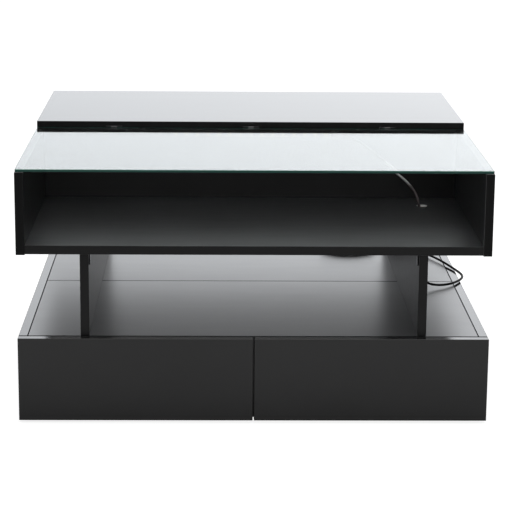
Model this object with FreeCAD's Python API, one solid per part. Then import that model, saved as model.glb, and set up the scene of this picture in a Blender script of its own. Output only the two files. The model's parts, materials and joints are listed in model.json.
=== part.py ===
# Coffee table: a low base with drawers on both sides, two upright supports, and an upper box whose front half
# is an open compartment under glass and whose rear half is storage under a hinged lid.
# Millimetres, +Z up, front towards -Y, origin on the floor under the middle of the table.
import FreeCAD, Part
import math
import os

V = FreeCAD.Vector

# Overall sizes and boards
WIDTH = 800.0
DEPTH = 800.0
BOARD = 15.0
EDGE_BEVEL = 0.5
SEAM = 2.0
SIDE_SEAM = 1.0

# Base
FOOT_HEIGHT = 5.0
FOOT_RADIUS = 14.0
FOOT_BEVEL = 1.5
FOOT_INSET = 45.0
FOOT_SIDES = 16
BASE_HEIGHT = 145.0
PUSH_TRAVEL = 3.0
FRONT_CLEARANCE = 1.0
FRONTS_APART = 2.0

# Drawer boxes
DRAWER_BOARD = 12.0
DRAWER_UNDER = 10.0
DRAWER_OVER = 15.0
DRAWER_BEHIND = 28.0
DRAWER_BOTTOM = 4.0
GROOVE_DEPTH = 5.0
GROOVE_RISE = 8.0
GROOVE_PLAY = 0.2

# Drawer slides and push catches
SLIDE_WIDTH = 12.7
SLIDE_HEIGHT = 35.0
SLIDE_STEEL = 1.2
SLIDE_PLAY = 0.3
SLIDE_LIP = 0.6
SLIDE_SETBACK = 2.0
SLIDE_SHORT = 4.0
CATCH_LENGTH = 22.0
CATCH_DEPTH = 10.5
CATCH_HEIGHT = 22.0
CATCH_NOSE = 6.0
CATCH_CLEARANCE = 0.5

# Supports and their corner brackets
SUPPORT_SIDE_INSET = 105.5
SUPPORT_REAR_INSET = 62.0
GAP_HEIGHT = 145.0
BRACKET_LEG = 25.0
BRACKET_WIDTH = 16.0
BRACKET_STEEL = 2.0
BRACKET_INSET = 12.0

# Upper box
BOX_HEIGHT = 140.5
FLOOR_RISE = 1.5
DIVIDER_SETBACK = 3.0
RAIL_HEIGHT = 60.0
RAIL_DROP = 1.0
CABLE_HOLE_RADIUS = 10.0
CABLE_HOLE_X = 315.2
CABLE_HOLE_Y = -67.0

# Glass and clear pads
GLASS = 5.0
GLASS_SET_IN = 1.0
GLASS_CORNER = 3.0
GLASS_BEVEL = 0.6
GLASS_CLEARANCE = 1.0
GLASS_PAD = 1.0
LID_PAD = 1.5
PAD_RADIUS = 4.0
PAD_SIDES = 12
PAD_INSET = 12.0
PAD_SPREAD = 200.0

# Lid and hinges
LID_SETBACK = 2.5
HINGE_SPREAD = 256.0
HINGE_LENGTH = 30.0
HINGE_LEAF = 14.0
HINGE_RISE = 0.5
HINGE_STEEL = 1.0
HINGE_CLEARANCE = 0.35
KNUCKLE_RADIUS = 2.0
KNUCKLE_GAP = 0.3
PIN_RADIUS = 1.0
PIN_CLEARANCE = 0.05

# Fasteners
DOWEL_RADIUS = 4.0
DOWEL_LENGTH = 20.0
DOWEL_PLAY = 0.1
DOWEL_SETBACK = 60.0
ROD_SIDES = 8
SCREW_HEAD_RADIUS = 2.2
SCREW_HEAD = 1.0
SCREW_RADIUS = 1.4
SCREW_LENGTH = 9.0
SCREW_PLAY = 0.05
SCREW_SPREAD = 18.0

# Light strip
LED_HALF_LENGTH = 150.0
LED_WIDTH = 10.0
LED_TAPE = 0.6
LED_DROP = 8.0
LED_PITCH = 20.0
LED_CHIP = 5.0
LED_CHIP_HEIGHT = 1.5
CONNECTOR_LENGTH = 14.0
CONNECTOR_DEPTH = 7.0
CONNECTOR_HEIGHT = 12.0

# Lead, its coil, tie and plug
CORD_DIAMETER = 4.5
CORD_SIDES = 6
ARC_SHARE = 0.45
COIL_X = 204.0
COIL_Y = 275.0
COIL_RADIUS = 57.75
COIL_PITCH = 5.2
COIL_LAYER = 5.1
COIL_QUARTERS_PER_LAYER = 5
COIL_END = 42.0
TIE_WIDTH = 6.0
TIE_THICKNESS = 0.9
TIE_CLEARANCE = 0.25
PLUG_LENGTH = 28.0
PLUG_WIDTH = 15.0
PLUG_BEVEL = 1.2
RELIEF_LENGTH = 12.0
RELIEF_RADIUS = 3.4
RELIEF_WALL = 0.6
RELIEF_CLEARANCE = 0.05
SHELL_LENGTH = 18.5
SHELL_WIDTH = 12.0
SHELL_HEIGHT = 4.5
SHELL_WALL = 0.4
TONGUE_HEIGHT = 1.8

# Points of the lead, from the light strip through the floor hole, over the base's edge and back to the coil
LEAD_ROUTE = [
    (179.0, -1.0, 427.0), (195.0, -3.0, 420.5), (212.0, -7.0, 409.3), (231.0, -12.5, 395.3),
    (251.0, -19.0, 380.4), (270.8, -27.0, 365.0), (288.0, -34.5, 351.5), (300.4, -46.5, 339.3),
    (307.8, -57.6, 325.6), (311.0, -63.0, 310.4), (312.7, -65.8, 294.0), (313.7, -67.0, 275.0),
    (314.2, -66.5, 254.0), (314.7, -64.5, 232.0), (315.2, -61.8, 210.0), (316.0, -58.5, 189.5),
    (318.4, -55.9, 176.3), (325.2, -54.0, 165.4), (335.6, -52.8, 158.8), (347.6, -51.4, 156.3),
    (361.0, -47.2, 155.3), (374.8, -37.0, 154.6), (387.4, -21.3, 153.9), (398.4, -2.6, 153.3),
    (406.2, 18.0, 153.0), (408.7, 39.0, 153.0), (405.8, 60.0, 153.0), (400.2, 82.7, 153.2),
    (392.8, 108.9, 153.8), (384.7, 134.5, 154.6), (375.5, 160.0, 155.2), (365.3, 186.0, 155.2),
    (354.0, 212.5, 154.4), (342.8, 239.0, 153.4), (332.5, 265.3, 152.8), (323.8, 290.5, 152.5),
    (317.3, 312.9, 152.5), (308.5, 332.9, 152.5), (296.0, 347.4, 152.6), (279.0, 353.9, 152.9),
    (260.5, 352.7, 153.9), (244.0, 346.7, 155.3), (230.5, 339.1, 156.8), (219.0, 334.5, 158.1),
]

# Places that several pieces share
half_width = WIDTH / 2
half_depth = DEPTH / 2
base_floor = FOOT_HEIGHT
base_top = FOOT_HEIGHT + BASE_HEIGHT
bay_floor = base_floor + BOARD
bay_top = base_top - BOARD
inner_width = half_width - BOARD
carcass_front = half_depth - BOARD - PUSH_TRAVEL - FRONT_CLEARANCE
box_bottom = base_top + GAP_HEIGHT
box_top = box_bottom + BOX_HEIGHT
floor_bottom = box_bottom + FLOOR_RISE
floor_top = floor_bottom + BOARD
support_outer = half_width - SUPPORT_SIDE_INSET
support_inner = support_outer - BOARD
support_rear = carcass_front - SUPPORT_REAR_INSET
glass_low = box_top + GLASS_PAD
glass_top = glass_low + GLASS
lid_low = box_top + LID_PAD
lid_top = lid_low + BOARD
divider_rear = DIVIDER_SETBACK + BOARD
lid_front = divider_rear + LID_SETBACK
rail_top = box_top - RAIL_DROP
hinge_y = lid_front - KNUCKLE_RADIUS - HINGE_CLEARANCE
hinge_z = glass_top + HINGE_RISE
glass_rear = hinge_y - KNUCKLE_RADIUS - GLASS_CLEARANCE
cord_radius = CORD_DIAMETER / 2
coil_low = base_top + TIE_THICKNESS + 2 * TIE_CLEARANCE + cord_radius
coil_high = coil_low + COIL_LAYER

boards = {}
groups = {}


def block(x0, x1, y0, y1, z0, z1):
    return Part.makeBox(x1 - x0, y1 - y0, z1 - z0, V(x0, y0, z0))


def board(x0, x1, y0, y1, z0, z1):
    """A board whose edges are all slightly broken."""
    solid = block(x0, x1, y0, y1, z0, z1)
    return solid.makeChamfer(EDGE_BEVEL, solid.Edges)


def mirrored(shape, axis):
    normal = V(1, 0, 0) if axis == "x" else V(0, 1, 0)
    return shape.mirror(V(0, 0, 0), normal)


def prism(points, along):
    """A solid swept straight from a flat outline."""
    outline = Part.makePolygon([*points, points[0]])
    return Part.Face(outline).extrude(along)


def ring(radius, sides, centre, normal):
    """A regular polygon as a closed wire, square to normal."""
    turn = FreeCAD.Rotation(V(0, 0, 1), normal)
    angles = [2 * math.pi * i / sides for i in range(sides)]
    points = [centre + turn.multVec(V(radius * math.cos(a), radius * math.sin(a), 0)) for a in angles]
    return Part.makePolygon([*points, points[0]])


def rod(radius, length, start, axis, sides=ROD_SIDES):
    """A straight rod with a few flats, as a fluted dowel or a screw's shank."""
    return Part.Face(ring(radius, sides, start, axis)).extrude(axis * length)


def taper(radius, end_radius, length, start, axis, sides=ROD_SIDES):
    """A straight rod whose far end is narrower."""
    rings = [ring(radius, sides, start, axis), ring(end_radius, sides, start + axis * length, axis)]
    return Part.makeLoft(rings, True, True)


def edges_along(solid, direction):
    """The straight edges of a solid that run in one direction."""
    found = []
    for edge in solid.Edges:
        run = edge.Vertexes[-1].Point - edge.Vertexes[0].Point
        if run.Length > 0 and run.cross(direction).Length < 1e-6 * run.Length:
            found.append(edge)
    return found


def make_base():
    """Side boards at full height, with the top, bottom, cross board and dividers between them."""
    front, rear = -carcass_front, carcass_front
    boards["base_left_side"] = board(-half_width, -inner_width, front, rear, base_floor, base_top)
    boards["base_right_side"] = board(inner_width, half_width, front, rear, base_floor, base_top)
    top_width = inner_width - SIDE_SEAM
    for name, y0, y1 in (("front", front, -SEAM / 2), ("rear", SEAM / 2, rear)):
        boards["base_top_" + name] = board(-top_width, top_width, y0, y1, bay_top, base_top)
        boards["base_bottom_" + name] = board(-inner_width, inner_width, y0, y1, base_floor, bay_floor)
    half = BOARD / 2
    boards["base_cross_panel"] = board(-inner_width, inner_width, -half, half, bay_floor, bay_top)
    boards["base_divider_front"] = board(-half, half, front, -half, bay_floor, bay_top)
    boards["base_divider_rear"] = board(-half, half, half, rear, bay_floor, bay_top)


def make_feet():
    """Round glides whose lower rims are broken."""
    up = V(0, 0, 1)
    feet = []
    for x in (-half_width + FOOT_INSET, 0.0, half_width - FOOT_INSET):
        for y in (-carcass_front + FOOT_INSET, carcass_front - FOOT_INSET):
            sole = taper(FOOT_RADIUS - FOOT_BEVEL, FOOT_RADIUS, FOOT_BEVEL, V(x, y, 0), up, FOOT_SIDES)
            body = rod(FOOT_RADIUS, FOOT_HEIGHT - FOOT_BEVEL, V(x, y, FOOT_BEVEL), up, FOOT_SIDES)
            feet.append(sole.fuse(body).removeSplitter())
    groups["feet"] = feet


def make_supports():
    right = board(support_inner, support_outer, -carcass_front, support_rear, base_top, floor_bottom)
    boards["support_right"] = right
    boards["support_left"] = mirrored(right, "x")


def bracket(y):
    """An angle bracket in the corner between the right support's inner face and the box floor."""
    corner = support_inner
    low = floor_bottom - BRACKET_LEG
    outline = [
        V(corner, y, floor_bottom),
        V(corner - BRACKET_LEG, y, floor_bottom),
        V(corner - BRACKET_LEG, y, floor_bottom - BRACKET_STEEL),
        V(corner - BRACKET_STEEL, y, floor_bottom - BRACKET_STEEL),
        V(corner - BRACKET_STEEL, y, low),
        V(corner, y, low),
    ]
    return prism(outline, V(0, BRACKET_WIDTH, 0))


def screw(seat, into):
    """A countersunk screw whose head is flush with the face at seat. The shank runs in the direction into."""
    head = taper(SCREW_HEAD_RADIUS, SCREW_RADIUS, SCREW_HEAD, seat, into)
    shank = rod(SCREW_RADIUS, SCREW_LENGTH, seat, into)
    return head.fuse(shank)


def screw_hole(seat, into):
    bore = rod(SCREW_RADIUS + SCREW_PLAY, SCREW_LENGTH + SCREW_PLAY, seat, into)
    return bore.fuse(taper(SCREW_HEAD_RADIUS, SCREW_RADIUS, SCREW_HEAD, seat, into))


def make_brackets():
    """Angle brackets near both ends of each support, with one screw in the support and one in the floor."""
    brackets, screws = [], []
    inset = BRACKET_INSET
    for y in (-carcass_front + inset, support_rear - inset - BRACKET_WIDTH):
        middle = y + BRACKET_WIDTH / 2
        reach = (BRACKET_LEG + BRACKET_STEEL) / 2
        places = [
            (V(support_inner - BRACKET_STEEL, middle, floor_bottom - reach), V(1, 0, 0), "support"),
            (V(support_inner - reach, middle, floor_bottom - BRACKET_STEEL), V(0, 0, 1), "box_floor"),
        ]
        right = bracket(y)
        for seat, into, _ in places:
            right = right.cut(screw_hole(seat, into))
        for side in ("right", "left"):
            brackets.append(right if side == "right" else mirrored(right, "x"))
            for seat, into, held_by in places:
                name = held_by + "_" + side if held_by == "support" else held_by
                fastener, hole = screw(seat, into), screw_hole(seat, into)
                if side == "left":
                    fastener, hole = mirrored(fastener, "x"), mirrored(hole, "x")
                screws.append(fastener)
                boards[name] = boards[name].cut(hole)
    groups["support_brackets"] = brackets
    groups["fixing_screws"] = screws


def make_box():
    """The upper box: sides at full depth, floor, divider, hinge rail and back between them."""
    left, right, rear = -inner_width, inner_width, half_depth - BOARD
    rail_rear = divider_rear + BOARD
    side = board(inner_width, half_width, -half_depth, half_depth, box_bottom, box_top)
    boards["box_right_side"] = side
    boards["box_left_side"] = mirrored(side, "x")
    floor = board(left, right, -half_depth, rear, floor_bottom, floor_top)
    hole = Part.makeCylinder(CABLE_HOLE_RADIUS, BOARD, V(CABLE_HOLE_X, CABLE_HOLE_Y, floor_bottom))
    boards["box_floor"] = floor.cut(hole)
    boards["box_divider"] = board(left, right, DIVIDER_SETBACK, divider_rear, floor_top, box_top)
    boards["hinge_rail"] = board(left, right, divider_rear, rail_rear, rail_top - RAIL_HEIGHT, rail_top)
    boards["box_back"] = board(left, right, rear, half_depth, box_bottom, box_top)


def make_glass():
    half = half_width - GLASS_SET_IN
    solid = block(-half, half, -half_depth, glass_rear, glass_low, glass_top)
    solid = solid.makeFillet(GLASS_CORNER, edges_along(solid, V(0, 0, 1)))
    flat = [edge for edge in solid.Edges if edge.BoundBox.ZLength < 1e-6]
    boards["glass_top"] = solid.makeChamfer(GLASS_BEVEL, flat)


def make_pads():
    """Clear pads on the box's top edges, under the glass and under the lid."""
    side_x = half_width - BOARD / 2
    rest_y = (DIVIDER_SETBACK + EDGE_BEVEL + glass_rear) / 2
    back_y = half_depth - BOARD / 2
    glass_ys = (-half_depth + PAD_INSET, glass_rear - BOARD - PAD_INSET)
    lid_ys = (lid_front + BOARD + PAD_INSET, half_depth - PAD_INSET)
    pads = []
    for height, side_ys, middle_y in ((GLASS_PAD, glass_ys, rest_y), (LID_PAD, lid_ys, back_y)):
        places = [(x, y) for x in (-side_x, side_x) for y in side_ys]
        places += [(x, middle_y) for x in (-PAD_SPREAD, PAD_SPREAD)]
        pads += [rod(PAD_RADIUS, height, V(x, y, box_top), V(0, 0, 1), PAD_SIDES) for x, y in places]
    groups["clear_pads"] = pads


def barrel(x0, x1, bore):
    """A hinge knuckle from x0 to x1 on the hinge axis."""
    start = V(x0, hinge_y, hinge_z)
    solid = Part.makeCylinder(KNUCKLE_RADIUS, x1 - x0, start, V(1, 0, 0))
    return solid, Part.makeCylinder(bore, x1 - x0, start, V(1, 0, 0))


def hinge_leaf(spans, bore, z_low):
    """A cranked leaf: a plate under the lid, and on some spans of the axis a neck that rises to a knuckle."""
    half = HINGE_LENGTH / 2
    neck_rear = hinge_y + KNUCKLE_RADIUS
    neck_front = neck_rear - HINGE_STEEL
    plate_front = neck_rear + HINGE_CLEARANCE
    z_high = z_low + HINGE_STEEL
    leaf = block(-half, half, plate_front, hinge_y + HINGE_LEAF, z_low, z_high)
    bores = []
    for x0, x1 in spans:
        root = block(x0, x1, neck_front, plate_front, z_low, z_high)
        neck = block(x0, x1, neck_front, neck_rear, z_low, hinge_z)
        knuckle, hole = barrel(x0, x1, bore)
        leaf = leaf.fuse([root, neck, knuckle])
        bores.append(hole)
    return leaf.cut(bores).removeSplitter()


def make_hinges():
    """Three butt hinges, each with two knuckles on the rail's leaf and one between them on the lid's leaf."""
    half, third = HINGE_LENGTH / 2, HINGE_LENGTH / 6
    gap = KNUCKLE_GAP / 2
    rail_leaf = hinge_leaf([(-half, -third - gap), (third + gap, half)], PIN_RADIUS, rail_top)
    lid_leaf = hinge_leaf([(-third + gap, third - gap)], PIN_RADIUS + PIN_CLEARANCE, lid_low - HINGE_STEEL)
    pin = Part.makeCylinder(PIN_RADIUS, HINGE_LENGTH, V(-half, hinge_y, hinge_z), V(1, 0, 0))
    screw_y = hinge_y + (HINGE_LEAF + KNUCKLE_RADIUS) / 2
    rail_leaves, lid_leaves, pins, lid_screws = [], [], [], []
    for x in (-HINGE_SPREAD, 0.0, HINGE_SPREAD):
        at = V(x, 0, 0)
        one_rail, one_lid = rail_leaf.translated(at), lid_leaf.translated(at)
        for side in (-SCREW_SPREAD / 2, SCREW_SPREAD / 2):
            down_seat, down = V(x + side, screw_y, rail_top + HINGE_STEEL), V(0, 0, -1)
            up_seat, up = V(x + side, screw_y, lid_low - HINGE_STEEL), V(0, 0, 1)
            one_rail = one_rail.cut(screw_hole(down_seat, down))
            one_lid = one_lid.cut(screw_hole(up_seat, up))
            boards["hinge_rail"] = boards["hinge_rail"].cut(screw_hole(down_seat, down))
            boards["lid"] = boards["lid"].cut(screw_hole(up_seat, up))
            groups["fixing_screws"].append(screw(down_seat, down))
            lid_screws.append(screw(up_seat, up))
        rail_leaves.append(one_rail)
        lid_leaves.append(one_lid)
        pins.append(pin.translated(at))
    groups["hinge_rail_leaves"] = rail_leaves
    groups["hinge_lid_leaves"] = lid_leaves
    groups["hinge_pins"] = pins
    groups["hinge_lid_screws"] = lid_screws


def make_lid():
    boards["lid"] = board(-half_width, half_width, lid_front, half_depth, lid_low, lid_top)


def make_dowels():
    """Wooden dowels across the main board joints, and the blind holes that they sit in."""
    dowels = []

    def peg(names, place, axis):
        start = place - axis * (DOWEL_LENGTH / 2)
        dowels.append(rod(DOWEL_RADIUS, DOWEL_LENGTH, start, axis))
        hole = rod(DOWEL_RADIUS + DOWEL_PLAY, DOWEL_LENGTH + DOWEL_PLAY, start, axis)
        for name in names:
            boards[name] = boards[name].cut(hole)

    across, up = V(1, 0, 0), V(0, 0, 1)
    ends = (-carcass_front + DOWEL_SETBACK, support_rear - DOWEL_SETBACK)
    for side, sign in (("left", -1), ("right", 1)):
        support_x = sign * (support_inner + BOARD / 2)
        joint_x = sign * inner_width
        for y, base_board in zip(ends, ("base_top_front", "base_top_rear")):
            peg(("support_" + side, base_board), V(support_x, y, base_top), up)
            peg(("support_" + side, "box_floor"), V(support_x, y, floor_bottom), up)
        for z in (bay_floor + DOWEL_SETBACK / 2, bay_top - DOWEL_SETBACK / 2):
            peg(("base_" + side + "_side", "base_cross_panel"), V(joint_x, 0, z), across)
        for y in (-half_depth + DOWEL_SETBACK, half_depth - BOARD - DOWEL_SETBACK):
            peg(("box_" + side + "_side", "box_floor"), V(joint_x, y, floor_bottom + BOARD / 2), across)
        for name, y in (("box_divider", divider_rear - BOARD / 2), ("box_back", half_depth - BOARD / 2)):
            for z in (floor_top + DOWEL_SETBACK / 2, box_top - DOWEL_SETBACK / 2):
                peg(("box_" + side + "_side", name), V(joint_x, y, z), across)
    groups["dowels"] = dowels


def channel(web, lips, height, y0, y1, z, wall):
    """A steel channel along Y. From the wall, web is where its back is and lips where its flanges end."""
    towards = 1 if lips > web else -1
    t, h = SLIDE_STEEL, height / 2
    inside = web + towards * t
    outline = [(web, -h), (lips, -h), (lips, t - h), (inside, t - h),
               (inside, h - t), (lips, h - t), (lips, h), (web, h)]
    points = [V(wall + u, y0, z + v) for u, v in outline]
    return prism(points, V(0, y1 - y0, 0))


def slide_members(wall, y0, y1, z):
    """The outer, middle and inner members of a slide on a carcass wall that faces +X."""
    t, play = SLIDE_STEEL, SLIDE_PLAY
    lips = SLIDE_WIDTH - t - 2 * play
    middle_height = SLIDE_HEIGHT - 2 * t - 2 * play
    inner_height = middle_height - 2 * t - 2 * play
    outer = channel(0, lips, SLIDE_HEIGHT, y0, y1, z, wall)
    middle = channel(t + play, lips, middle_height, y0, y1, z, wall)
    inner = channel(SLIDE_WIDTH, 2 * (t + play) + SLIDE_LIP, inner_height, y0, y1, z, wall)
    return outer, middle, inner


def drawer_parts():
    """The front left drawer with its slides and catch. The other drawers are its mirror images."""
    x0, x1 = -inner_width, -BOARD / 2
    front_y, rear_y = -half_depth, -half_depth + BOARD
    end_y = -BOARD / 2 - DRAWER_BEHIND
    low, high = bay_floor + DRAWER_UNDER, bay_top - DRAWER_OVER
    left, right = x0 + SLIDE_WIDTH, x1 - SLIDE_WIDTH
    inner_left, inner_right = left + DRAWER_BOARD, right - DRAWER_BOARD
    back_y = end_y - DRAWER_BOARD
    groove_low = low + GROOVE_RISE
    groove = block(inner_left - GROOVE_DEPTH, inner_right + GROOVE_DEPTH, rear_y - GROOVE_DEPTH,
                   back_y + GROOVE_DEPTH, groove_low, groove_low + DRAWER_BOTTOM + GROOVE_PLAY)
    front = board(-half_width, -FRONTS_APART / 2, front_y, rear_y, base_floor, base_top)
    back = board(inner_left, inner_right, back_y, end_y, low, high)
    sides = [board(a, b, rear_y, end_y, low, high) for a, b in ((left, inner_left), (inner_right, right))]
    reach = GROOVE_DEPTH - GROOVE_PLAY
    bottom = block(inner_left - reach, inner_right + reach, rear_y - reach, back_y + reach,
                   groove_low, groove_low + DRAWER_BOTTOM)
    z = (low + high) / 2
    slide_front, slide_rear = -carcass_front + SLIDE_SETBACK, end_y - SLIDE_SHORT
    on_left = slide_members(x0, slide_front, slide_rear, z)
    centre = V((x0 + x1) / 2, 0, 0)
    on_right = [member.mirror(centre, V(1, 0, 0)) for member in on_left]
    catch_y = slide_rear + PUSH_TRAVEL + CATCH_CLEARANCE
    catch = prism([
        V(x0, catch_y, z - CATCH_HEIGHT / 2),
        V(x0 + CATCH_DEPTH - CATCH_NOSE / 2, catch_y, z - CATCH_HEIGHT / 2),
        V(x0 + CATCH_DEPTH, catch_y + CATCH_NOSE, z - CATCH_HEIGHT / 2),
        V(x0 + CATCH_DEPTH, catch_y + CATCH_LENGTH, z - CATCH_HEIGHT / 2),
        V(x0, catch_y + CATCH_LENGTH, z - CATCH_HEIGHT / 2),
    ], V(0, 0, CATCH_HEIGHT))
    outer, middle, inner = zip(on_left, on_right)
    return {
        "drawer_front": [front.cut(groove)],
        "drawer_sides": [side.cut(groove) for side in sides],
        "drawer_back": [back.cut(groove)],
        "drawer_bottom": [bottom],
        "slide_inner_members": inner,
        "slide_middle_members": middle,
        "slide_outer_members": outer,
        "push_catches": [catch],
    }


def make_drawers():
    parts = drawer_parts()
    groups["slide_outer_members"] = []
    groups["push_catches"] = []
    for row in ("front", "rear"):
        for side in ("left", "right"):
            for name, solids in parts.items():
                placed = list(solids)
                if side == "right":
                    placed = [mirrored(solid, "x") for solid in placed]
                if row == "rear":
                    placed = [mirrored(solid, "y") for solid in placed]
                if name in groups:
                    groups[name] += placed
                else:
                    groups[row + "_" + side + "_" + name] = placed


def make_light_strip():
    """A tape with light chips along the top of the divider's front face, and its connector at the right."""
    z = box_top - LED_DROP
    face = DIVIDER_SETBACK
    tape_front = face - LED_TAPE
    tape = block(-LED_HALF_LENGTH, LED_HALF_LENGTH, tape_front, face, z - LED_WIDTH / 2, z + LED_WIDTH / 2)
    count = int(2 * LED_HALF_LENGTH / LED_PITCH)
    first = -(count - 1) * LED_PITCH / 2
    half = LED_CHIP / 2
    chips = []
    for i in range(count):
        x = first + i * LED_PITCH
        chips.append(block(x - half, x + half, tape_front - LED_CHIP_HEIGHT, tape_front, z - half, z + half))
    boards["led_strip"] = tape.fuse(chips).removeSplitter()
    housing = block(LED_HALF_LENGTH, LED_HALF_LENGTH + CONNECTOR_LENGTH, face - CONNECTOR_DEPTH, face,
                    z - CONNECTOR_HEIGHT / 2, z + CONNECTOR_HEIGHT / 2)
    boards["led_connector"] = housing.makeChamfer(EDGE_BEVEL, housing.Edges)
    return V(LED_HALF_LENGTH + CONNECTOR_LENGTH, face - CONNECTOR_DEPTH / 2, z)


def arc_through(start, corner, end):
    """The arc from start to end that is tangent to the lines to corner, and its radius."""
    to_corner = corner - start
    turn_half = to_corner.getAngle(end - corner) / 2
    weight = math.cos(turn_half)
    middle = ((start + end) * 0.5 + corner * weight) * (1 / (1 + weight))
    return Part.Arc(start, middle, end).toShape(), to_corner.Length / math.tan(turn_half)


def rounded_path(points):
    """Straight runs joined by tangent arcs, each as large as its two runs allow, and the arcs' radii."""
    edges, radii = [], []
    start = points[0]
    for before, corner, after in zip(points, points[1:], points[2:]):
        back, on = before - corner, after - corner
        reach = ARC_SHARE * min(back.Length, on.Length)
        arc_start = corner + back * (reach / back.Length)
        arc_end = corner + on * (reach / on.Length)
        arc, radius = arc_through(arc_start, corner, arc_end)
        edges += [Part.LineSegment(start, arc_start).toShape(), arc]
        radii.append(radius)
        start = arc_end
    edges.append(Part.LineSegment(start, points[-1]).toShape())
    return edges, radii


def tube(edges, name):
    """A round tube along tangent edges. Its volume is compared with its section times its length."""
    wire = Part.Wire(edges)
    first = edges[0]
    heading = first.tangentAt(first.FirstParameter)
    section = ring(cord_radius, CORD_SIDES, first.valueAt(first.FirstParameter), heading)
    solid = wire.makePipeShell([section], True, False)
    expected = Part.Face(section).Area * wire.Length
    print(name, "length", round(wire.Length, 1), "volume over section times length",
          round(solid.Volume / expected, 4), "valid", solid.isValid())
    return solid


def biarc(start, heading, end, end_heading):
    """Two arcs that leave start along heading and reach end along end_heading."""
    chord = end - start
    both = heading + end_heading
    bend = 2 * (1 - heading.dot(end_heading))
    along = chord.dot(both)
    reach = (-along + math.sqrt(along ** 2 + bend * chord.dot(chord))) / bend
    first_corner = start + heading * reach
    last_corner = end - end_heading * reach
    joint = (first_corner + last_corner) * 0.5
    return [arc_through(start, first_corner, joint)[0], arc_through(joint, last_corner, end)[0]]


def coil_point(quarter):
    """The place and heading of the coil's centreline after a number of quarter turns from its rear."""
    last = 2 * COIL_QUARTERS_PER_LAYER + 2
    middle = last / 2
    angle = math.radians(90 * (quarter + 1))
    wound = min(quarter, last - quarter)
    radius = COIL_RADIUS - COIL_PITCH * wound / 4
    rate = COIL_PITCH / (2 * math.pi)
    growth = 0.0 if quarter == middle else math.copysign(rate, quarter - middle)
    drop = min(max(quarter - (middle - 1), 0), 2) / 2
    slope = -COIL_LAYER / math.pi if quarter == middle else 0.0
    across, along = V(math.cos(angle), math.sin(angle), 0), V(-math.sin(angle), math.cos(angle), 0)
    place = V(COIL_X, COIL_Y, coil_high - COIL_LAYER * drop) + across * radius
    heading = along * radius + across * growth + V(0, 0, slope)
    return place, heading.normalize()


def coil_edges():
    """Two layers of turns: the upper spirals in, half a turn drops a layer, and the lower spirals out."""
    last = 2 * COIL_QUARTERS_PER_LAYER + 2
    places = [coil_point(quarter) for quarter in range(last + 1)]
    start, start_heading = places[0]
    end, end_heading = places[-1]
    edges = [Part.LineSegment(start - start_heading * CORD_DIAMETER, start).toShape()]
    for (a, a_heading), (b, b_heading) in zip(places, places[1:]):
        edges += biarc(a, a_heading, b, b_heading)
    edges.append(Part.LineSegment(end, end + end_heading * COIL_END).toShape())
    return edges


def least_gap(edges):
    """The least gap between a tube's turns, on points along it."""
    step = CORD_DIAMETER / 3
    points = []
    for edge in Part.Wire(edges).OrderedEdges:
        points += edge.discretize(max(2, int(edge.Length / step) + 1))[:-1]
    next_turn = 10
    nearest = min((a - b).Length for i, a in enumerate(points) for b in points[i + next_turn:])
    return nearest - CORD_DIAMETER


def make_tie(place):
    """A flat band round the coil's bundle at its right side."""
    inner = (place["near"] - TIE_CLEARANCE, place["far"] + TIE_CLEARANCE)
    low, high = coil_low - cord_radius - TIE_CLEARANCE, coil_high + cord_radius + TIE_CLEARANCE
    y0, y1 = COIL_Y - TIE_WIDTH / 2, COIL_Y + TIE_WIDTH / 2
    t = TIE_THICKNESS
    outside = block(COIL_X + inner[0] - t, COIL_X + inner[1] + t, y0, y1, low - t, high + t)
    outside = outside.makeFillet(t, edges_along(outside, V(0, 1, 0)))
    boards["cable_tie"] = outside.cut(block(COIL_X + inner[0], COIL_X + inner[1], y0, y1, low, high))


def make_plug(face):
    """A small flat plug on the base: a moulded grip, its strain relief, and a steel shell with a tongue."""
    y, z = face.y, face.z
    half = PLUG_WIDTH / 2
    grip = block(face.x - PLUG_LENGTH, face.x, y - half, y + half, base_top, 2 * z - base_top)
    grip = grip.makeChamfer(PLUG_BEVEL, edges_along(grip, V(1, 0, 0)))
    neck = face.x - PLUG_LENGTH
    mouth = neck - SHELL_LENGTH
    half, high = SHELL_WIDTH / 2, SHELL_HEIGHT / 2
    shell = block(mouth, neck, y - half, y + half, z - high, z + high)
    half, top = half - SHELL_WALL, high - SHELL_WALL
    hollow = block(mouth, neck, y - half, y + half, z - top + TONGUE_HEIGHT, z + top)
    out = V(1, 0, 0)
    relief = Part.makeCone(RELIEF_RADIUS, cord_radius + RELIEF_WALL, RELIEF_LENGTH, face, out)
    bore = Part.makeCylinder(cord_radius + RELIEF_CLEARANCE, RELIEF_LENGTH, face, out)
    boards["lead_plug"] = grip.fuse([shell.cut(hollow), relief.cut(bore)]).removeSplitter()


def make_lead(strip_end):
    coil = coil_edges()
    coil_start = coil[0].valueAt(coil[0].FirstParameter)
    coil_end = coil[-1].valueAt(coil[-1].LastParameter)
    route = [strip_end, *[V(*point) for point in LEAD_ROUTE], coil_start]
    edges, radii = rounded_path(route)
    print("lead arc radii", [round(radius, 1) for radius in radii])
    boards["power_lead"] = tube(edges, "power_lead")
    boards["cable_coil"] = tube(coil, "cable_coil")
    print("least gap between the coil's turns", round(least_gap(coil), 2))
    at_right = [coil_point(q)[0].x - COIL_X for q in range(2 * COIL_QUARTERS_PER_LAYER + 3) if q % 4 == 3]
    make_tie({"near": min(at_right) - cord_radius, "far": max(at_right) + cord_radius})
    make_plug(coil_end)


make_base()
make_feet()
make_supports()
make_box()
make_lid()
make_brackets()
make_hinges()
make_glass()
make_pads()
make_dowels()
make_drawers()
make_lead(make_light_strip())

os.makedirs("parts", exist_ok=True)
for name, solid in boards.items():
    solid.exportStep("parts/" + name + ".step")
for name, solids in groups.items():
    shape = solids[0] if len(solids) == 1 else Part.makeCompound(solids)
    shape.exportStep("parts/" + name + ".step")
print("nodes", len(boards) + len(groups))
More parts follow.
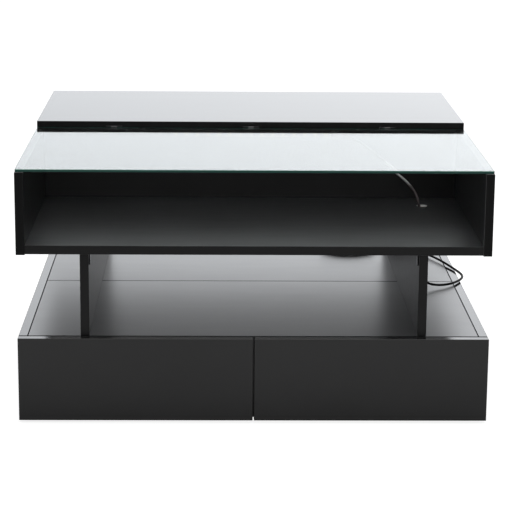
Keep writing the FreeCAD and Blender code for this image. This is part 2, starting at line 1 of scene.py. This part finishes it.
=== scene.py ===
import json
import math

import bpy
from mathutils import Matrix, Vector


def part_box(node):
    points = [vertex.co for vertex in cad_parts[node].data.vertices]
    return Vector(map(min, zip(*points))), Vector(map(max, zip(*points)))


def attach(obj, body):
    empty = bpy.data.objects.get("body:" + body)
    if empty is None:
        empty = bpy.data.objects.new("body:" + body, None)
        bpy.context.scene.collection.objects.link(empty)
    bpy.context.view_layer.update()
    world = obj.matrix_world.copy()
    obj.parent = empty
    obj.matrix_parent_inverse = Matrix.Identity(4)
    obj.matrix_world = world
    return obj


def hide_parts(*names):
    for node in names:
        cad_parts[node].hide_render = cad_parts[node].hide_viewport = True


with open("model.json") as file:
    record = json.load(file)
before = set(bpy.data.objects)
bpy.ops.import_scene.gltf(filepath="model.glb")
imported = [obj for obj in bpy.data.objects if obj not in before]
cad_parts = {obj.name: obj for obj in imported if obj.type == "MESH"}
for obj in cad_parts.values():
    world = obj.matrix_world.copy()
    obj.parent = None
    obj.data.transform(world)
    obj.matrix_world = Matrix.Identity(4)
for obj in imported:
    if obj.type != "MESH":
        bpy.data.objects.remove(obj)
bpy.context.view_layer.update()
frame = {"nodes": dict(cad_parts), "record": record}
nodes = frame["nodes"]

# Camera, as fitted to the photograph's corners, in metres and degrees
IMAGE_SIZE = 510
FOCAL_PIXELS = 1907.6
SENSOR_MM = 36.0
CAMERA_PLACE = Vector((-0.0648, -3.5110, 1.0432))
CAMERA_YAW = 1.207
CAMERA_PITCH = 13.491
CAMERA_ROLL = 0.470
CAMERA_CLIP_END = 50.0

# Lead, in metres: the same points as in the part's source
CORD_DIAMETER = 0.0045
LEAD_ROUTE = [
    (0.1790, -0.0010, 0.4270), (0.1950, -0.0030, 0.4205), (0.2120, -0.0070, 0.4093),
    (0.2310, -0.0125, 0.3953), (0.2510, -0.0190, 0.3804), (0.2708, -0.0270, 0.3650),
    (0.2880, -0.0345, 0.3515), (0.3004, -0.0465, 0.3393), (0.3078, -0.0576, 0.3256),
    (0.3110, -0.0630, 0.3104), (0.3127, -0.0658, 0.2940), (0.3137, -0.0670, 0.2750),
    (0.3142, -0.0665, 0.2540), (0.3147, -0.0645, 0.2320), (0.3152, -0.0618, 0.2100),
    (0.3160, -0.0585, 0.1895), (0.3184, -0.0559, 0.1763), (0.3252, -0.0540, 0.1654),
    (0.3356, -0.0528, 0.1588), (0.3476, -0.0514, 0.1563), (0.3610, -0.0472, 0.1553),
    (0.3748, -0.0370, 0.1546), (0.3874, -0.0213, 0.1539), (0.3984, -0.0026, 0.1533),
    (0.4062, 0.0180, 0.1530), (0.4087, 0.0390, 0.1530), (0.4058, 0.0600, 0.1530),
    (0.4002, 0.0827, 0.1532), (0.3928, 0.1089, 0.1538), (0.3847, 0.1345, 0.1546),
    (0.3755, 0.1600, 0.1552), (0.3653, 0.1860, 0.1552), (0.3540, 0.2125, 0.1544),
    (0.3428, 0.2390, 0.1534), (0.3325, 0.2653, 0.1528), (0.3238, 0.2905, 0.1525),
    (0.3173, 0.3129, 0.1525), (0.3085, 0.3329, 0.1525), (0.2960, 0.3474, 0.1526),
    (0.2790, 0.3539, 0.1529), (0.2605, 0.3527, 0.1539), (0.2440, 0.3467, 0.1553),
    (0.2305, 0.3391, 0.1568), (0.2190, 0.3345, 0.1581),
]
COIL_CENTRE = Vector((0.204, 0.275))
COIL_RADIUS = 0.05775
COIL_PITCH = 0.0052
COIL_LAYER = 0.0051
COIL_HIGH = 0.15875
COIL_TURNS = 3
COIL_TURNS_PER_LAYER = 1.25
COIL_DROP_TURNS = 0.5
COIL_START_DEGREES = 90
COIL_POINTS_PER_TURN = 24

# Colours of the lead by height in metres: a pale stretch in the compartment as a painted highlight,
# brownish at its foot
CORD_BLACK = (0.005, 0.005, 0.005)
CORD_BROWN = (0.085, 0.07, 0.072)
CORD_PAINTED_HIGHLIGHT = (0.36, 0.36, 0.36)
CORD_COLOURS = (
    (0.304, CORD_BLACK), (0.31, CORD_BROWN), (0.343, CORD_BROWN),
    (0.352, CORD_PAINTED_HIGHLIGHT), (0.379, CORD_PAINTED_HIGHLIGHT), (0.384, CORD_BLACK),
)

# Where the lead goes through the box's floor, and the depth of the pale rim of the drilled hole, below
# which its wall is dark as painted shade, in metres
CABLE_HOLE = Vector((0.3152, -0.067))
CABLE_HOLE_REACH = 0.0105
PALE_RIM_DEPTH = 0.003
RIM_SHADE_BLEND = 0.0006
PALE_CHIPS = (0.95, 0.94, 0.92)
HOLE_PAINTED_SHADE = (0.2, 0.19, 0.18)

# Light strip: how far its chips stand proud of the tape and the step between the two, in metres
CHIP_DEPTH = 0.0015
CHIP_STEP = 0.0001
CHIP_YELLOW = (0.35, 0.3, 0.11)
TAPE_BLACK = (0.012, 0.012, 0.012)

# Faces of the drawer fronts that lie this near to the middle are inside the gap between them, and are
# painted black as shade, in metres
DRAWER_GAP = 0.01

# Limits for a face's normal along an axis: facing that way, flat, leaning, upright and facing the rear
FACING = 0.7
FLAT = 0.9
LEANING = 0.3
UPRIGHT = 0.5
REARWARD = 0.5

# The range of a noise that is spread over a look
NOISE_RANGE = (0.3, 0.7)

# Coated boards: tone of the black, roughness, specular level and weight of the clear coat
BOARDS = {
    "satin_board": (0.036, 0.3, 0.5, 0.66),
    "gloss_board": (0.006, 0.08, 0.5, 0.28),
    "polished_board": (0.006, 0.1, 0.5, 0.45),
    "matt_board": (0.012, 0.4, 0.35, 0.0),
    "front_board": (0.006, 0.3, 0.5, 0.0),
    "shelf_board": (0.0115, 0.32, 0.6, 0.0),
    "dark_board": (0.004, 0.4, 0.25, 0.0),
    "edge_band": (0.002, 0.4, 0.15, 0.0),
    # A lighter copy of the black board, as a painted highlight on the right box side's inner front arris
    "arris_painted_highlight": (0.08, 0.3, 0.5, 0.0),
    # Black without gloss, as painted shade in the seams between boards and in the gap between the drawer
    # fronts
    "seam_painted_shade": (0.002, 0.8, 0.0, 0.0),
}
GLOSS_VARIATION = 0.012

# Nodes of black board that aren't satin, apart from the drawer fronts
NODE_BOARDS = {
    "lid": "gloss_board",
    "box_floor": "shelf_board",
    "base_left_side": "polished_board",
    "base_right_side": "polished_board",
    "support_left": "matt_board",
    "support_right": "matt_board",
    "box_left_side": "matt_board",
    "box_right_side": "matt_board",
    "box_divider": "dark_board",
    "hinge_rail": "dark_board",
}

# World: strength of its light, and its brightness in reflections from the left to the right
WORLD_LIGHT = 0.45
WORLD_SPAN = (-0.4, 0.4)
WORLD_SLOPE = (0.6, 1.4)

# Floor: half size and a span along Y in metres, its painted glow there in reflections, dark next to the
# table as a painted shadow, and to the eye
FLOOR_HALF = 30.0
FLOOR_SPAN = (-2.4, -0.4)
FLOOR_FALL = ((0.0, 0.08), (0.75, 0.47), (1.0, 0.14))
FLOOR_SEEN = 0.85

# Soft boxes: place, point aimed at, width and height in metres, brightness and tint
SOFTBOXES = {
    "back_softbox": ((1.2, 3.2, 1.35), (0, 0, 0.9), 7.0, 1.9, 0.5, (0.88, 0.95, 1.05)),
    "top_softbox": ((0, -0.6, 3.0), (0, 0, 0.3), 3.0, 2.4, 0.6, (1, 1, 1)),
    "key_softbox": ((0.0, -0.1, 2.6), (0.0, -0.1, 0.4), 1.0, 1.0, 5.0, (1, 1, 1)),
}


# Shader helpers

def new_material(name):
    material = bpy.data.materials.new(name)
    material.use_nodes = True
    tree = material.node_tree
    return material, tree, tree.nodes["Principled BSDF"]


def grey(level):
    return (level, level, level)


def scaled(tone, factor):
    return tuple(factor * value for value in tone)


def noise(tree, scale, detail=3.0, stretch=(1, 1, 1)):
    """A noise texture in the object's own metres, stretched along its axes."""
    place = tree.nodes.new("ShaderNodeTexCoord")
    mapping = tree.nodes.new("ShaderNodeMapping")
    mapping.inputs["Scale"].default_value = stretch
    texture = tree.nodes.new("ShaderNodeTexNoise")
    texture.inputs["Scale"].default_value = scale
    texture.inputs["Detail"].default_value = detail
    tree.links.new(place.outputs["Object"], mapping.inputs["Vector"])
    tree.links.new(mapping.outputs["Vector"], texture.inputs["Vector"])
    return texture.outputs["Fac"]


def along(tree, axis, space="Object"):
    """The coordinate along one axis: in the object's metres, or in the world's Generated directions."""
    place = tree.nodes.new("ShaderNodeTexCoord")
    split = tree.nodes.new("ShaderNodeSeparateXYZ")
    tree.links.new(place.outputs[space], split.inputs["Vector"])
    return split.outputs[axis]


def mapped(tree, value, source, result=(0.0, 1.0)):
    """A value mapped from one range to another, and held at its ends."""
    node = tree.nodes.new("ShaderNodeMapRange")
    for name, number in zip(("From Min", "From Max", "To Min", "To Max"), (*source, *result)):
        node.inputs[name].default_value = number
    tree.links.new(value, node.inputs["Value"])
    return node.outputs["Result"]


def graded(tree, value, stops):
    """A colour that changes along a value, through stops of a share and a colour."""
    node = tree.nodes.new("ShaderNodeValToRGB")
    elements = node.color_ramp.elements
    while len(elements) < len(stops):
        elements.new(0.5)
    for element, (share, colour) in zip(elements, stops):
        element.position = share
        element.color = (*colour, 1)
    tree.links.new(value, node.inputs["Fac"])
    return node.outputs["Color"]


def spread(tree, value, low, high, target):
    """Spreads a noise's middle range between two values, and feeds them to a socket."""
    tree.links.new(mapped(tree, value, NOISE_RANGE, (low, high)), target)


def two_tone(tree, value, first, second, target):
    """Colours a socket between two tones by a noise."""
    tree.links.new(graded(tree, value, tuple(zip(NOISE_RANGE, (first, second)))), target)


def bump(tree, value, strength, distance, shader):
    node = tree.nodes.new("ShaderNodeBump")
    node.inputs["Strength"].default_value = strength
    node.inputs["Distance"].default_value = distance
    tree.links.new(value, node.inputs["Height"])
    for name in ("Normal", "Coat Normal"):
        tree.links.new(node.outputs["Normal"], shader.inputs[name])


def combined(tree, operation, first, second):
    """Two values joined by an operation of the Math node."""
    node = tree.nodes.new("ShaderNodeMath")
    node.operation = operation
    tree.links.new(first, node.inputs[0])
    tree.links.new(second, node.inputs[1])
    return node.outputs["Value"]


def mix_values(tree, factor, first, second):
    """The first value where factor is 0 and the second where it is 1. Each is a number or a socket."""
    node = tree.nodes.new("ShaderNodeMix")
    tree.links.new(factor, node.inputs["Factor"])
    for name, value in (("A", first), ("B", second)):
        if isinstance(value, float):
            node.inputs[name].default_value = value
        else:
            tree.links.new(value, node.inputs[name])
    return node.outputs["Result"]


def camera_rays(tree):
    return tree.nodes.new("ShaderNodeLightPath").outputs["Is Camera Ray"]


def seen_rays(tree):
    """1 for camera, glossy and transmission rays, which show the background, and 0 for the rest."""
    path = tree.nodes.new("ShaderNodeLightPath")
    value = path.outputs["Is Camera Ray"]
    for name in ("Is Glossy Ray", "Is Transmission Ray"):
        value = combined(tree, "MAXIMUM", value, path.outputs[name])
    return value


# Materials

def coated_board(name, tone, rough, specular, coat):
    """Black coated board: a faint cloudiness in the colour, streaks in the gloss and slight orange peel."""
    material, tree, shader = new_material(name)
    bluish = (tone, tone, 1.05 * tone)
    two_tone(tree, noise(tree, 9), bluish, scaled(bluish, 1.5), shader.inputs["Base Color"])
    streaks = noise(tree, 70, 4, (0.12, 1, 1))
    spread(tree, streaks, rough - GLOSS_VARIATION, rough + GLOSS_VARIATION, shader.inputs["Roughness"])
    shader.inputs["Specular IOR Level"].default_value = specular
    shader.inputs["Coat Weight"].default_value = coat
    shader.inputs["Coat Roughness"].default_value = rough
    bump(tree, noise(tree, 900, 2), 0.06, 0.0004, shader)
    return material


def textured(name, scale, tones, rough, detail=3, stretch=(1, 1, 1), relief=None, metallic=0.0):
    """A look whose tone, gloss and relief follow one noise. The relief is a bump's strength and depth."""
    material, tree, shader = new_material(name)
    texture = noise(tree, scale, detail, stretch)
    two_tone(tree, texture, *tones, shader.inputs["Base Color"])
    spread(tree, texture, *rough, shader.inputs["Roughness"])
    shader.inputs["Metallic"].default_value = metallic
    if relief:
        bump(tree, texture, *relief, shader)
    return material


def drawer_lining():
    tones = ((0.035, 0.035, 0.036), (0.055, 0.055, 0.057))
    return textured("drawer_lining", 40, tones, (0.45, 0.6), 6, (1, 0.08, 1), (0.15, 0.0003))


def hardboard():
    tones = ((0.05, 0.05, 0.052), (0.075, 0.075, 0.077))
    return textured("hardboard", 220, tones, (0.55, 0.75), 6, relief=(0.2, 0.0003))


def beech():
    tones = ((0.5, 0.34, 0.2), (0.66, 0.5, 0.33))
    return textured("beech", 300, tones, (0.55, 0.7), 4, (1, 1, 0.1))


def steel(name, tone):
    """Bright or blackened steel with a fine drawn grain along Y."""
    tones = (scaled(tone, 0.85), tone)
    return textured(name, 700, tones, (0.24, 0.38), stretch=(1, 0.03, 1), metallic=1.0)


def moulded_plastic(name, tone, rough):
    tones = (tone, scaled(tone, 1.35))
    return textured(name, 1500, tones, (rough - 0.06, rough + 0.06), relief=(0.12, 0.0002))


def drilled_core_painted_shade():
    """The chip core of a board where it is drilled: pale under the face, and dark below as painted shade.
    """
    material, tree, shader = new_material("drilled_core_painted_shade")
    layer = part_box("box_floor")[1].z - PALE_RIM_DEPTH
    stops = ((layer - RIM_SHADE_BLEND, HOLE_PAINTED_SHADE), (layer, PALE_CHIPS))
    tree.links.new(graded(tree, along(tree, "Z"), stops), shader.inputs["Base Color"])
    chips = noise(tree, 420, 5)
    spread(tree, chips, 0.6, 0.85, shader.inputs["Roughness"])
    bump(tree, chips, 0.3, 0.0004, shader)
    return material


def clear_glass():
    """Float glass: clear through its faces, green where the eye looks along it."""
    material, tree, shader = new_material("clear_glass")
    shader.inputs["Base Color"].default_value = (1, 1, 1, 1)
    shader.inputs["Transmission Weight"].default_value = 1.0
    shader.inputs["IOR"].default_value = 1.52
    spread(tree, noise(tree, 14), 0.0, 0.003, shader.inputs["Roughness"])
    absorb = tree.nodes.new("ShaderNodeVolumeAbsorption")
    absorb.inputs["Color"].default_value = (0.2, 0.78, 0.62, 1)
    absorb.inputs["Density"].default_value = 9.0
    output = tree.nodes["Material Output"]
    tree.links.new(absorb.outputs["Volume"], output.inputs["Volume"])
    return material


def glass_edge(name, tone):
    """The polished edge of float glass, green because the eye looks along the pane."""
    material, tree, shader = new_material(name)
    two_tone(tree, noise(tree, 30), scaled(tone, 0.85), tone, shader.inputs["Base Color"])
    shader.inputs["Roughness"].default_value = 0.12
    return material


def clear_pad():
    material, tree, shader = new_material("clear_pad")
    two_tone(tree, noise(tree, 500), (0.86, 0.88, 0.88), (0.93, 0.95, 0.95), shader.inputs["Base Color"])
    shader.inputs["Transmission Weight"].default_value = 0.7
    shader.inputs["Roughness"].default_value = 0.25
    return material


def light_tape():
    """Black tape with yellow light chips: the chips stand proud of the tape towards the front."""
    material, tree, shader = new_material("light_tape")
    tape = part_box("led_strip")[0].y + CHIP_DEPTH
    step = mapped(tree, along(tree, "Y"), (tape - CHIP_STEP, tape))
    two_tone(tree, step, CHIP_YELLOW, TAPE_BLACK, shader.inputs["Base Color"])
    shader.inputs["Roughness"].default_value = 0.4
    return material


def cord_jacket():
    """A dull jacket, black apart from the stretch in the compartment, which is paler as a painted
    highlight.
    """
    material, tree, shader = new_material("cord_jacket")
    tree.links.new(graded(tree, along(tree, "Z"), CORD_COLOURS), shader.inputs["Base Color"])
    cloud = noise(tree, 350, 3)
    spread(tree, cloud, 0.38, 0.46, shader.inputs["Roughness"])
    shader.inputs["Specular IOR Level"].default_value = 0.03
    bump(tree, cloud, 0.05, 0.0002, shader)
    return material


# The object

def paint_faces(name, look, chosen):
    """Gives a look to those faces of a node that a test picks by their normal and centre."""
    mesh = nodes[name].data
    mesh.materials.append(look)
    slot = len(mesh.materials) - 1
    for face in mesh.polygons:
        if chosen(face.normal, face.center):
            face.material_index = slot


def paint_details(boards):
    """Edges, bevels, seams and the drilled hole, with painted shade in the seams, the drawer gap, the lower
    glass bevels and deep in the hole, and painted highlights on the upper glass bevels and one arris. Where
    two tests pick a face, the later one counts.
    """
    box_sides = ("box_left_side", "box_right_side")
    drawer_fronts = ("front_left_drawer_front", "front_right_drawer_front")
    base_tops = ("base_top_front", "base_top_rear", "base_left_side", "base_right_side")
    glass_side = glass_edge("glass_edge", (0.019, 0.1, 0.078))
    # Pale green on the upper bevels as a painted highlight
    upper_bevel_highlight = glass_edge("upper_glass_bevel_painted_highlight", (0.4, 0.66, 0.58))
    # Near black on the lower bevels as painted shade
    lower_bevel_shade = glass_edge("lower_glass_bevel_painted_shade", (0.002, 0.006, 0.005))
    details = (
        (("support_left", "support_right", "box_floor"), boards["dark_board"],
         lambda normal, centre: normal.y < -FACING),
        ((*box_sides, "lid"), boards["edge_band"],
         lambda normal, centre: normal.y < -FACING),
        (box_sides, boards["edge_band"],
         lambda normal, centre: normal.z > FACING),
        (drawer_fronts, boards["polished_board"],
         lambda normal, centre: normal.z > FLAT),
        # Painted shade on the faces inside the gap between the drawer fronts
        (drawer_fronts, boards["seam_painted_shade"],
         lambda normal, centre: abs(centre.x) < DRAWER_GAP),
        (("box_left_side",), boards["dark_board"],
         lambda normal, centre: normal.x > FACING),
        (("box_floor",), boards["satin_board"],
         lambda normal, centre: normal.z < -FACING),
        # Painted highlight along the inner front arris of the right box side
        (("box_right_side",), boards["arris_painted_highlight"],
         lambda normal, centre: normal.x < -LEANING and normal.y < -LEANING),
        # Painted shade on the bevels in the seams between the base's boards
        (base_tops, boards["seam_painted_shade"],
         lambda normal, centre: LEANING < normal.z < FLAT),
        (("glass_top",), glass_side,
         lambda normal, centre: abs(normal.z) < FLAT),
        # Painted highlight on the upper bevels at the front and sides
        (("glass_top",), upper_bevel_highlight,
         lambda normal, centre: LEANING < normal.z < FLAT and normal.y < REARWARD),
        # Painted shade on the lower bevels at the front and sides
        (("glass_top",), lower_bevel_shade,
         lambda normal, centre: -FLAT < normal.z < -LEANING and normal.y < REARWARD),
        # The wall of the cable hole: pale at its rim, with painted shade further down
        (("box_floor",), drilled_core_painted_shade(),
         lambda normal, centre: (abs(normal.z) < UPRIGHT
                                 and (centre.xy - CABLE_HOLE).length < CABLE_HOLE_REACH)),
    )
    for names, look, chosen in details:
        for name in names:
            paint_faces(name, look, chosen)


def dress_nodes():
    """Gives each node the look of its slot in the record or a finish of its own, and returns the cord's."""
    boards = {name: coated_board(name, *values) for name, values in BOARDS.items()}
    looks = {
        "black_board": boards["satin_board"],
        "drawer_board": drawer_lining(),
        "drawer_base": hardboard(),
        "dowel_wood": beech(),
        "glass": clear_glass(),
        "clear_plastic": clear_pad(),
        "steel": steel("zinc_steel", (0.6, 0.6, 0.61)),
        "black_steel": steel("black_steel", (0.016, 0.016, 0.0165)),
        "grey_plastic": moulded_plastic("grey_plastic", (0.22, 0.22, 0.23), 0.5),
        "black_plastic": moulded_plastic("black_plastic", (0.016, 0.016, 0.016), 0.42),
        "led_tape": light_tape(),
        "cord": cord_jacket(),
    }
    finishes = {name: boards[board] for name, board in NODE_BOARDS.items()}
    # The lid's hinge leaves are a lighter copy of the black steel, as a painted glint on the middle
    # knuckles
    finishes["hinge_lid_leaves"] = steel("black_steel_painted_glint", (0.06, 0.06, 0.061))
    for part in frame["record"]["subparts"]:
        name = part["node"]
        look = finishes.get(name, looks[part["material_slot"]])
        if name.endswith("_drawer_front"):
            look = boards["front_board"]
        nodes[name].data.materials.clear()
        nodes[name].data.materials.append(look)
    paint_details(boards)
    return looks["cord"]


def coil_points():
    """The coil's centreline: inwards on the upper layer, a drop, and outwards on the lower layer."""
    points = []
    for i in range(COIL_TURNS * COIL_POINTS_PER_TURN + 1):
        turn = i / COIL_POINTS_PER_TURN
        wound = min(turn, COIL_TURNS - turn)
        radius = COIL_RADIUS - COIL_PITCH * wound
        share = min(max((turn - COIL_TURNS_PER_LAYER) / COIL_DROP_TURNS, 0), 1)
        drop = (1 - math.cos(math.pi * share)) / 2
        angle = math.radians(COIL_START_DEGREES + 360 * turn)
        x = COIL_CENTRE.x + radius * math.cos(angle)
        y = COIL_CENTRE.y + radius * math.sin(angle)
        points.append((x, y, COIL_HIGH - COIL_LAYER * drop))
    return points


def make_cord(look):
    """One cord from the light's connector to the plug."""
    low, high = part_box("led_connector")
    start = (high.x, (low.y + high.y) / 2, (low.z + high.z) / 2)
    plug_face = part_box("lead_plug")[1].x
    end = (plug_face, COIL_CENTRE.y + COIL_RADIUS, COIL_HIGH - COIL_LAYER)
    points = [start, *LEAD_ROUTE, *coil_points(), end]
    curve = bpy.data.curves.new("lead", "CURVE")
    curve.dimensions = "3D"
    curve.bevel_depth = CORD_DIAMETER / 2
    curve.bevel_resolution = 4
    curve.use_fill_caps = True
    spline = curve.splines.new("NURBS")
    spline.points.add(len(points) - 1)
    for target, point in zip(spline.points, points):
        target.co = (*point, 1)
    spline.order_u = 3
    spline.use_endpoint_u = True
    spline.resolution_u = 6
    lead = bpy.data.objects.new("lead", curve)
    bpy.context.scene.collection.objects.link(lead)
    curve.materials.append(look)
    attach(lead, "table")
    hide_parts("power_lead", "cable_coil")


# The studio

def make_camera():
    data = bpy.data.cameras.new("camera")
    data.sensor_width = SENSOR_MM
    data.lens = FOCAL_PIXELS / IMAGE_SIZE * SENSOR_MM
    data.clip_end = CAMERA_CLIP_END
    yaw, pitch, roll = (math.radians(angle) for angle in (CAMERA_YAW, CAMERA_PITCH, CAMERA_ROLL))
    forward = Vector((math.sin(yaw) * math.cos(pitch), math.cos(yaw) * math.cos(pitch), -math.sin(pitch)))
    right = Vector((math.cos(yaw), -math.sin(yaw), 0))
    up = right.cross(forward)
    side = right * math.cos(roll) + up * math.sin(roll)
    over = up * math.cos(roll) - right * math.sin(roll)
    turn = Matrix((side, over, -forward)).transposed().to_4x4()
    camera = bpy.data.objects.new("camera", data)
    camera.matrix_world = Matrix.Translation(CAMERA_PLACE) @ turn
    bpy.context.scene.collection.objects.link(camera)
    bpy.context.scene.camera = camera


def make_world():
    """A white background: dimmer in the light that it gives, and in reflections brighter to the right."""
    world = bpy.data.worlds.new("studio")
    world.use_nodes = True
    bpy.context.scene.world = world
    tree = world.node_tree
    background = tree.nodes["Background"]
    background.inputs["Color"].default_value = (1, 1, 1, 1)
    slope = mapped(tree, along(tree, "X", "Generated"), WORLD_SPAN, WORLD_SLOPE)
    seen = mix_values(tree, camera_rays(tree), slope, 1.0)
    strength = mix_values(tree, seen_rays(tree), WORLD_LIGHT, seen)
    tree.links.new(strength, background.inputs["Strength"])


def floor_level(tree):
    """How bright the floor is: pale to the eye, and in reflections brightest a little before the table,
    with a painted shadow darkening it next to the table.
    """
    stops = [(share, grey(level)) for share, level in FLOOR_FALL]
    fall = graded(tree, mapped(tree, along(tree, "Y"), FLOOR_SPAN), stops)
    return mix_values(tree, camera_rays(tree), fall, FLOOR_SEEN)


def make_floor():
    """A white floor that keeps a soft shadow under the table."""
    corners = [(FLOOR_HALF * x, FLOOR_HALF * y, 0) for x, y in ((-1, -1), (1, -1), (1, 1), (-1, 1))]
    mesh = bpy.data.meshes.new("floor")
    mesh.from_pydata(corners, [], [(0, 1, 2, 3)])
    floor = bpy.data.objects.new("floor", mesh)
    bpy.context.scene.collection.objects.link(floor)
    material, tree, shader = new_material("floor")
    two_tone(tree, noise(tree, 0.7), grey(0.38), grey(0.4), shader.inputs["Base Color"])
    shader.inputs["Roughness"].default_value = 0.9
    shader.inputs["Emission Color"].default_value = (1, 1, 1, 1)
    glow = combined(tree, "MULTIPLY", seen_rays(tree), floor_level(tree))
    tree.links.new(glow, shader.inputs["Emission Strength"])
    mesh.materials.append(material)


def area_light(name, place, target, width, height, radiance, tint):
    """A soft box of a given brightness and tint, aimed at a point."""
    data = bpy.data.lights.new(name, "AREA")
    data.color = tint
    data.shape = "RECTANGLE"
    data.size = width
    data.size_y = height
    data.energy = radiance * math.pi * width * height
    light = bpy.data.objects.new(name, data)
    light.location = place
    light.rotation_mode = "QUATERNION"
    light.rotation_quaternion = (Vector(target) - Vector(place)).to_track_quat("-Z", "Y")
    light.visible_camera = False
    bpy.context.scene.collection.objects.link(light)


def make_lights():
    for name, values in SOFTBOXES.items():
        area_light(name, *values)


make_camera()
make_cord(dress_nodes())
make_world()
make_floor()
make_lights()
bpy.context.scene.view_settings.view_transform = "Standard"
